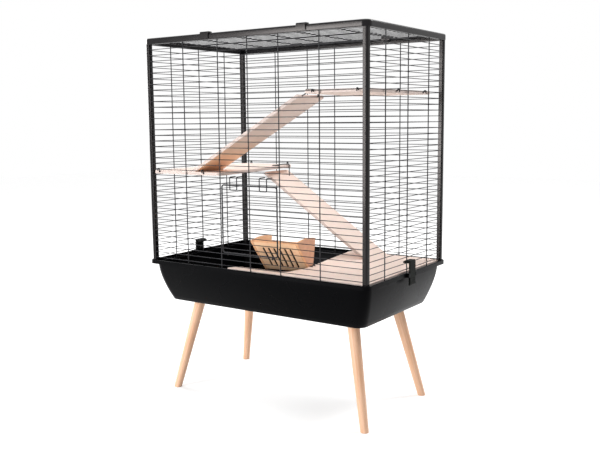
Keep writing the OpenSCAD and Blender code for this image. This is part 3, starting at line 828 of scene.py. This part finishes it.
@dataclass
class WirePanels:
    """Welded wire walls, door and roof, with a weld nugget where a row crosses an upright.

    Rows and uprights lie side by side: rows_out and uprights_out are how far their axes are from
    the middle of the cage, along X in the end panels and along Y in the front and back ones.
    doorway holds the numbers of the rows along its lower and its upper edge, counted from 0.
    """

    first_row: float = 0.4245
    pitch: float = 0.0169
    rows: int = 38
    rows_out: Pair = (0.3778, 0.2278)
    uprights_out: Pair = (0.3756, 0.2256)
    front_uprights: tuple[float, ...] = (-0.235, -0.105, 0.0, 0.105, 0.235)
    side_uprights: tuple[float, ...] = (-0.128, 0.0, 0.128)
    doorway: tuple[int, int] = (2, 14)
    roof_rows: int = 17
    roof_pitch: float = 0.0249
    roof_weld_z: float = 1.0784
    nugget: Point = (0.0021, 0.0021, 0.0017)
    coat: CoatedWire = CoatedWire("wire_black", (0.018, 0.018, 0.02))

    def levels(self, rows: Iterable[int]) -> np.ndarray:
        """Heights of the given rows."""
        return self.first_row + self.pitch * np.fromiter(rows, float)

    def crossings(
        self, xs: Sequence[float], ys: Sequence[float], zs: Sequence[float]
    ) -> np.ndarray:
        """Every combination of the given x, y and z, one point a row."""
        return np.stack(np.meshgrid(xs, ys, zs, indexing="ij"), -1).reshape(-1, 3)

    def panel_welds(self) -> dict[str, np.ndarray]:
        """Where the welds of each panel lie, midway between the axes of the two wires.

        Returns:
            Piece name to points.
        """
        low, high = self.doorway
        every = self.levels(range(self.rows))
        past_door = self.levels([*range(low + 1), *range(high, self.rows)])
        in_door = self.levels(range(low + 1, high))
        mid_x, mid_y = np.mean([self.rows_out, self.uprights_out], axis=0)
        beside_door = [x for x in self.front_uprights if x]
        roof_y = (np.arange(self.roof_rows) - (self.roof_rows - 1) / 2) * self.roof_pitch
        return {
            "front_welds": np.vstack([
                self.crossings(beside_door, [-mid_y], every),
                self.crossings([0.0], [-mid_y], past_door),
            ]),
            "back_welds": self.crossings(self.front_uprights, [mid_y], every),
            "left_welds": self.crossings([-mid_x], self.side_uprights, every),
            "right_welds": self.crossings([mid_x], self.side_uprights, every),
            "roof_welds": self.crossings(self.front_uprights, roof_y, [self.roof_weld_z]),
            "door_welds": self.crossings([0.0], [-mid_y], in_door),
        }

    def build(self) -> None:
        """Dresses the panels and every bent wire, and adds the weld nuggets."""
        black = self.coat.material()
        wires = (
            "front_panel", "back_panel", "left_panel", "right_panel", "roof_grid", "door_grid",
            "door_hooks", "mid_shelf_hooks", "upper_shelf_hooks", "upper_ramp_hooks",
            "lower_ramp_hooks", "manger_pegs",
        )
        for node in wires:
            dress(node, black, Shading.ROUND)
        bodies = {"roof_welds": "roof_lid", "door_welds": "front_door"}
        points, faces = nugget_surface(np.array(self.nugget))
        for name, places in self.panel_welds().items():
            piece = mesh_object(name, *scatter(places, points, faces))
            add_piece(piece, black, bodies.get(name, "cage"))


@dataclass
class Boards:
    """Platform, shelves and ramps of pale board.

    A slope is a ramp's climb along X, and upper_foot_painted_bounce the X from and to which the
    upper ramp's lower face gets painted bounce light, lighter and warmer towards its foot.
    """

    face: Colour = (0.93, 0.77, 0.69)
    fleck: Colour = (0.88, 0.71, 0.62)
    edge: Colour = (0.70, 0.58, 0.53)
    upper_slope: float = 0.559
    lower_slope: float = -0.672
    upper_foot_painted_bounce: Pair = (0.02, -0.16)

    def board(self, name: str, slope: float = 0.0, painted_bounce_along: Pair | None = None) -> FacedBoard:
        """The finish of one board.

        Args:
            name: the material's name.
            slope: how steeply it climbs along X.
            painted_bounce_along: the X from and to which its lower face gets painted bounce light,
                lighter and warmer.

        Returns:
            The finish.
        """
        tilt = math.atan(slope)
        up = (-math.sin(tilt), 0.0, math.cos(tilt))
        turn = (0.0, tilt, 0.0)
        return FacedBoard(
            name, self.face, self.fleck, self.edge, up, turn, painted_bounce_along=painted_bounce_along
        )

    def build(self) -> None:
        """Dresses the level boards and the two ramps."""
        level = self.board("pale_board_level").material()
        for node in ("base_platform", "mid_shelf", "upper_shelf"):
            dress(node, level, Shading.SHARP)
        # painted bounce light on the upper ramp's lower face near its foot
        upper = self.board("pale_board_upper", self.upper_slope, self.upper_foot_painted_bounce)
        lower = self.board("pale_board_lower", self.lower_slope)
        dress("upper_ramp", upper.material(), Shading.SHARP)
        dress("lower_ramp", lower.material(), Shading.SHARP)


@dataclass
class HayManger:
    """Slatted hay manger of warm plywood, turned a little and with a sloping front and back."""

    turn_deg: float = 8.27
    front_lean_deg: float = 47.9
    back_lean_deg: float = 12.8
    face: Colour = (0.96, 0.66, 0.42)
    fleck: Colour = (0.92, 0.54, 0.32)
    edge: Colour = (0.86, 0.47, 0.26)
    # painted shade: a darker copy of the plywood colour for the right board
    painted_shade_side_face: Colour = (0.67, 0.37, 0.26)

    def build(self) -> None:
        """Dresses the four boards, each with its own direction."""
        turn, front, back = (
            math.radians(angle)
            for angle in (self.turn_deg, self.front_lean_deg, self.back_lean_deg)
        )
        down = Vector((0.0, 0.0, -1.0))
        across = Vector((math.cos(turn), math.sin(turn), 0.0))
        inward = Vector((-math.sin(turn), math.cos(turn), 0.0))
        plans = {
            "manger_front": (self.face, down * math.cos(front) - inward * math.sin(front)),
            "manger_back": (self.face, down * math.sin(back) + inward * math.cos(back)),
            "manger_left": (self.face, across),
            # painted shade: the right board darker than the other boards of the same plywood
            "manger_right": (self.painted_shade_side_face, across),
        }
        for node, (face, up) in plans.items():
            finish = FacedBoard(
                node + "_ply",
                face,
                self.fleck,
                self.edge,
                up=tuple(up),
                turn=(0.0, 0.0, -turn),
                # painted shade in the front board's slots
                slot_across=tuple(across) if node == "manger_front" else None,
            )
            dress(node, finish.material(), Shading.SHARP)


# --------------------------------------------------------------------------- studio


@dataclass(frozen=True)
class Softbox:
    """One large soft lamp, aimed at the cage."""

    name: str
    place: Point
    wide: float
    high: float
    watts: float
    aim: Point = (0.0, 0.0, 0.6)

    def build(self) -> None:
        """Adds the lamp to the scene."""
        lamp = bpy.data.lights.new(self.name, "AREA")
        lamp.shape = "RECTANGLE"
        lamp.size = self.wide
        lamp.size_y = self.high
        lamp.energy = self.watts
        holder = bpy.data.objects.new(self.name, lamp)
        holder.location = self.place
        way = Vector(self.aim) - Vector(self.place)
        holder.rotation_euler = way.to_track_quat("-Z", "Y").to_euler()
        holder.visible_camera = False
        bpy.context.scene.collection.objects.link(holder)


LAMPS: tuple[Softbox, ...] = (
    Softbox("front_left_box", (-1.35, -3.0, 0.95), 1.0, 1.4, 92.0, aim=(0.1, -0.2, 0.7)),
    Softbox("left_box", (-2.9, 0.3, 1.5), 1.6, 1.6, 76.0),
    Softbox("back_right_box", (1.3, 1.7, 2.6), 1.0, 1.0, 60.0, aim=(0.7, 0.8, 0.0)),
    Softbox("top_box", (0.2, -0.2, 3.4), 2.2, 2.2, 40.0),
)


@dataclass
class Studio:
    """Pale floor, white surround, soft lamps and the photograph's camera.

    The floor glows by itself where it is seen, but lights nothing: from near_glow close to the
    cage to far_glow where the lamps no longer reach it, so that it stays white to the horizon.
    """

    focal_px: float = 787.715
    frame_px: int = 600
    sensor_mm: float = 36.0
    sight: float = 60.0
    eye: Point = (1.358792, -1.950032, 0.838764)
    turn_deg: float = 34.557
    tip_deg: float = -7.594
    roll_deg: float = -0.531
    floor_half: float = 9.0
    floor_cells: int = 8
    floor_drop: float = 0.0004
    floor_colour: Colour = (0.72, 0.72, 0.72)
    floor_rough: float = 0.9
    floor_gloss: float = 0.1
    near_glow: float = 0.44
    far_glow: float = 0.66
    glow_reach: Pair = (0.9, 3.2)
    fill: float = 0.42
    lamps: tuple[Softbox, ...] = LAMPS

    def camera(self) -> None:
        """Sets the camera where the photograph was taken.

        The axes come from three turns: by turn about Z, by tip above the horizon and by roll
        about the line of sight.
        """
        turn, tip, roll = (
            math.radians(angle) for angle in (self.turn_deg, self.tip_deg, self.roll_deg)
        )
        ahead = Vector((-math.sin(turn), math.cos(turn), 0.0))
        right = Vector((math.cos(turn), math.sin(turn), 0.0))
        forward = ahead * math.cos(tip) + Vector((0.0, 0.0, math.sin(tip)))
        up = right.cross(forward)
        side = right * math.cos(roll) + up * math.sin(roll)
        top = up * math.cos(roll) - right * math.sin(roll)
        lens = bpy.data.cameras.new("photo_camera")
        lens.sensor_width = self.sensor_mm
        lens.lens = self.focal_px / self.frame_px * self.sensor_mm
        lens.clip_end = self.sight
        camera = bpy.data.objects.new("photo_camera", lens)
        axes = Matrix((side, top, -forward)).transposed().to_4x4()
        camera.matrix_world = Matrix.Translation(self.eye) @ axes
        bpy.context.scene.collection.objects.link(camera)
        bpy.context.scene.camera = camera

    def seen(self, tree: Tree) -> Any:
        """Tells the rays that show a surface from those that only light it.

        Args:
            tree: the tree of the world or of a material.

        Returns:
            A socket that is 1 for rays from the camera, from a gloss or through glass, else 0.
        """
        path = tree.add("LightPath").outputs
        first = tree.math("MAXIMUM", path["Is Camera Ray"], path["Is Glossy Ray"])
        return tree.math("MAXIMUM", first, path["Is Transmission Ray"])

    def surround(self) -> None:
        """Makes the world white to the camera and in reflections, and a soft grey as a lamp."""
        world = bpy.data.worlds.new("white_surround")
        bpy.context.scene.world = world
        world.use_nodes = True
        tree = Tree(world.node_tree)
        strength = tree.span(self.seen(tree), WHOLE, to=(self.fill, 1.0))
        back = tree.add("Background", {"Color": WHITE, "Strength": strength})
        tree.add("OutputWorld", {"Surface": back.outputs[0]})

    def floor_mesh(self) -> bpy.types.Object:
        """A flat square grid just under the legs, from corner to corner in equal cells.

        Returns:
            The floor.
        """
        line = self.floor_cells + 1
        u = np.linspace(-self.floor_half, self.floor_half, line)
        xx, yy = np.meshgrid(u, u, indexing="ij")
        points = np.stack([xx, yy, np.full_like(xx, -self.floor_drop)], -1).reshape(-1, 3)
        i, j = np.meshgrid(np.arange(self.floor_cells), np.arange(self.floor_cells), indexing="ij")
        start = (i * line + j).ravel()
        faces = np.stack([start, start + line, start + line + 1, start + 1], -1)
        return mesh_object("studio_floor", points, faces, smooth=False)

    def floor(self) -> None:
        """Lays a pale floor that looks white where it is lit and keeps the cage's shadow."""
        floor = self.floor_mesh()
        material, tree, shader = new_material("pale_floor")
        point = tree.add("TexCoord").outputs["Object"]
        away = tree.add("VectorMath", {0: point}, operation="LENGTH").outputs["Value"]
        glow = tree.span(away, self.glow_reach, to=(self.near_glow, self.far_glow))
        tree.fill(shader, {
            "Base Color": self.floor_colour,
            "Roughness": self.floor_rough,
            "Specular IOR Level": self.floor_gloss,
            "Emission Color": WHITE,
            "Emission Strength": tree.math("MULTIPLY", self.seen(tree), glow),
        })
        floor.data.materials.append(material)

    def build(self) -> None:
        """Sets up the camera, the surround, the floor and the lamps."""
        self.camera()
        self.surround()
        self.floor()
        for lamp in self.lamps:
            lamp.build()
        bpy.context.scene.view_settings.view_transform = "Standard"


def main() -> None:
    """Builds the studio and dresses the cage, part by part."""
    logging.basicConfig(level=logging.INFO, format="%(name)s: %(message)s")
    Studio().build()
    for assembly in (TrayAndLegs(), PlasticFrame(), WirePanels(), Boards(), HayManger()):
        assembly.build()


if __name__ == "__main__":
    main()
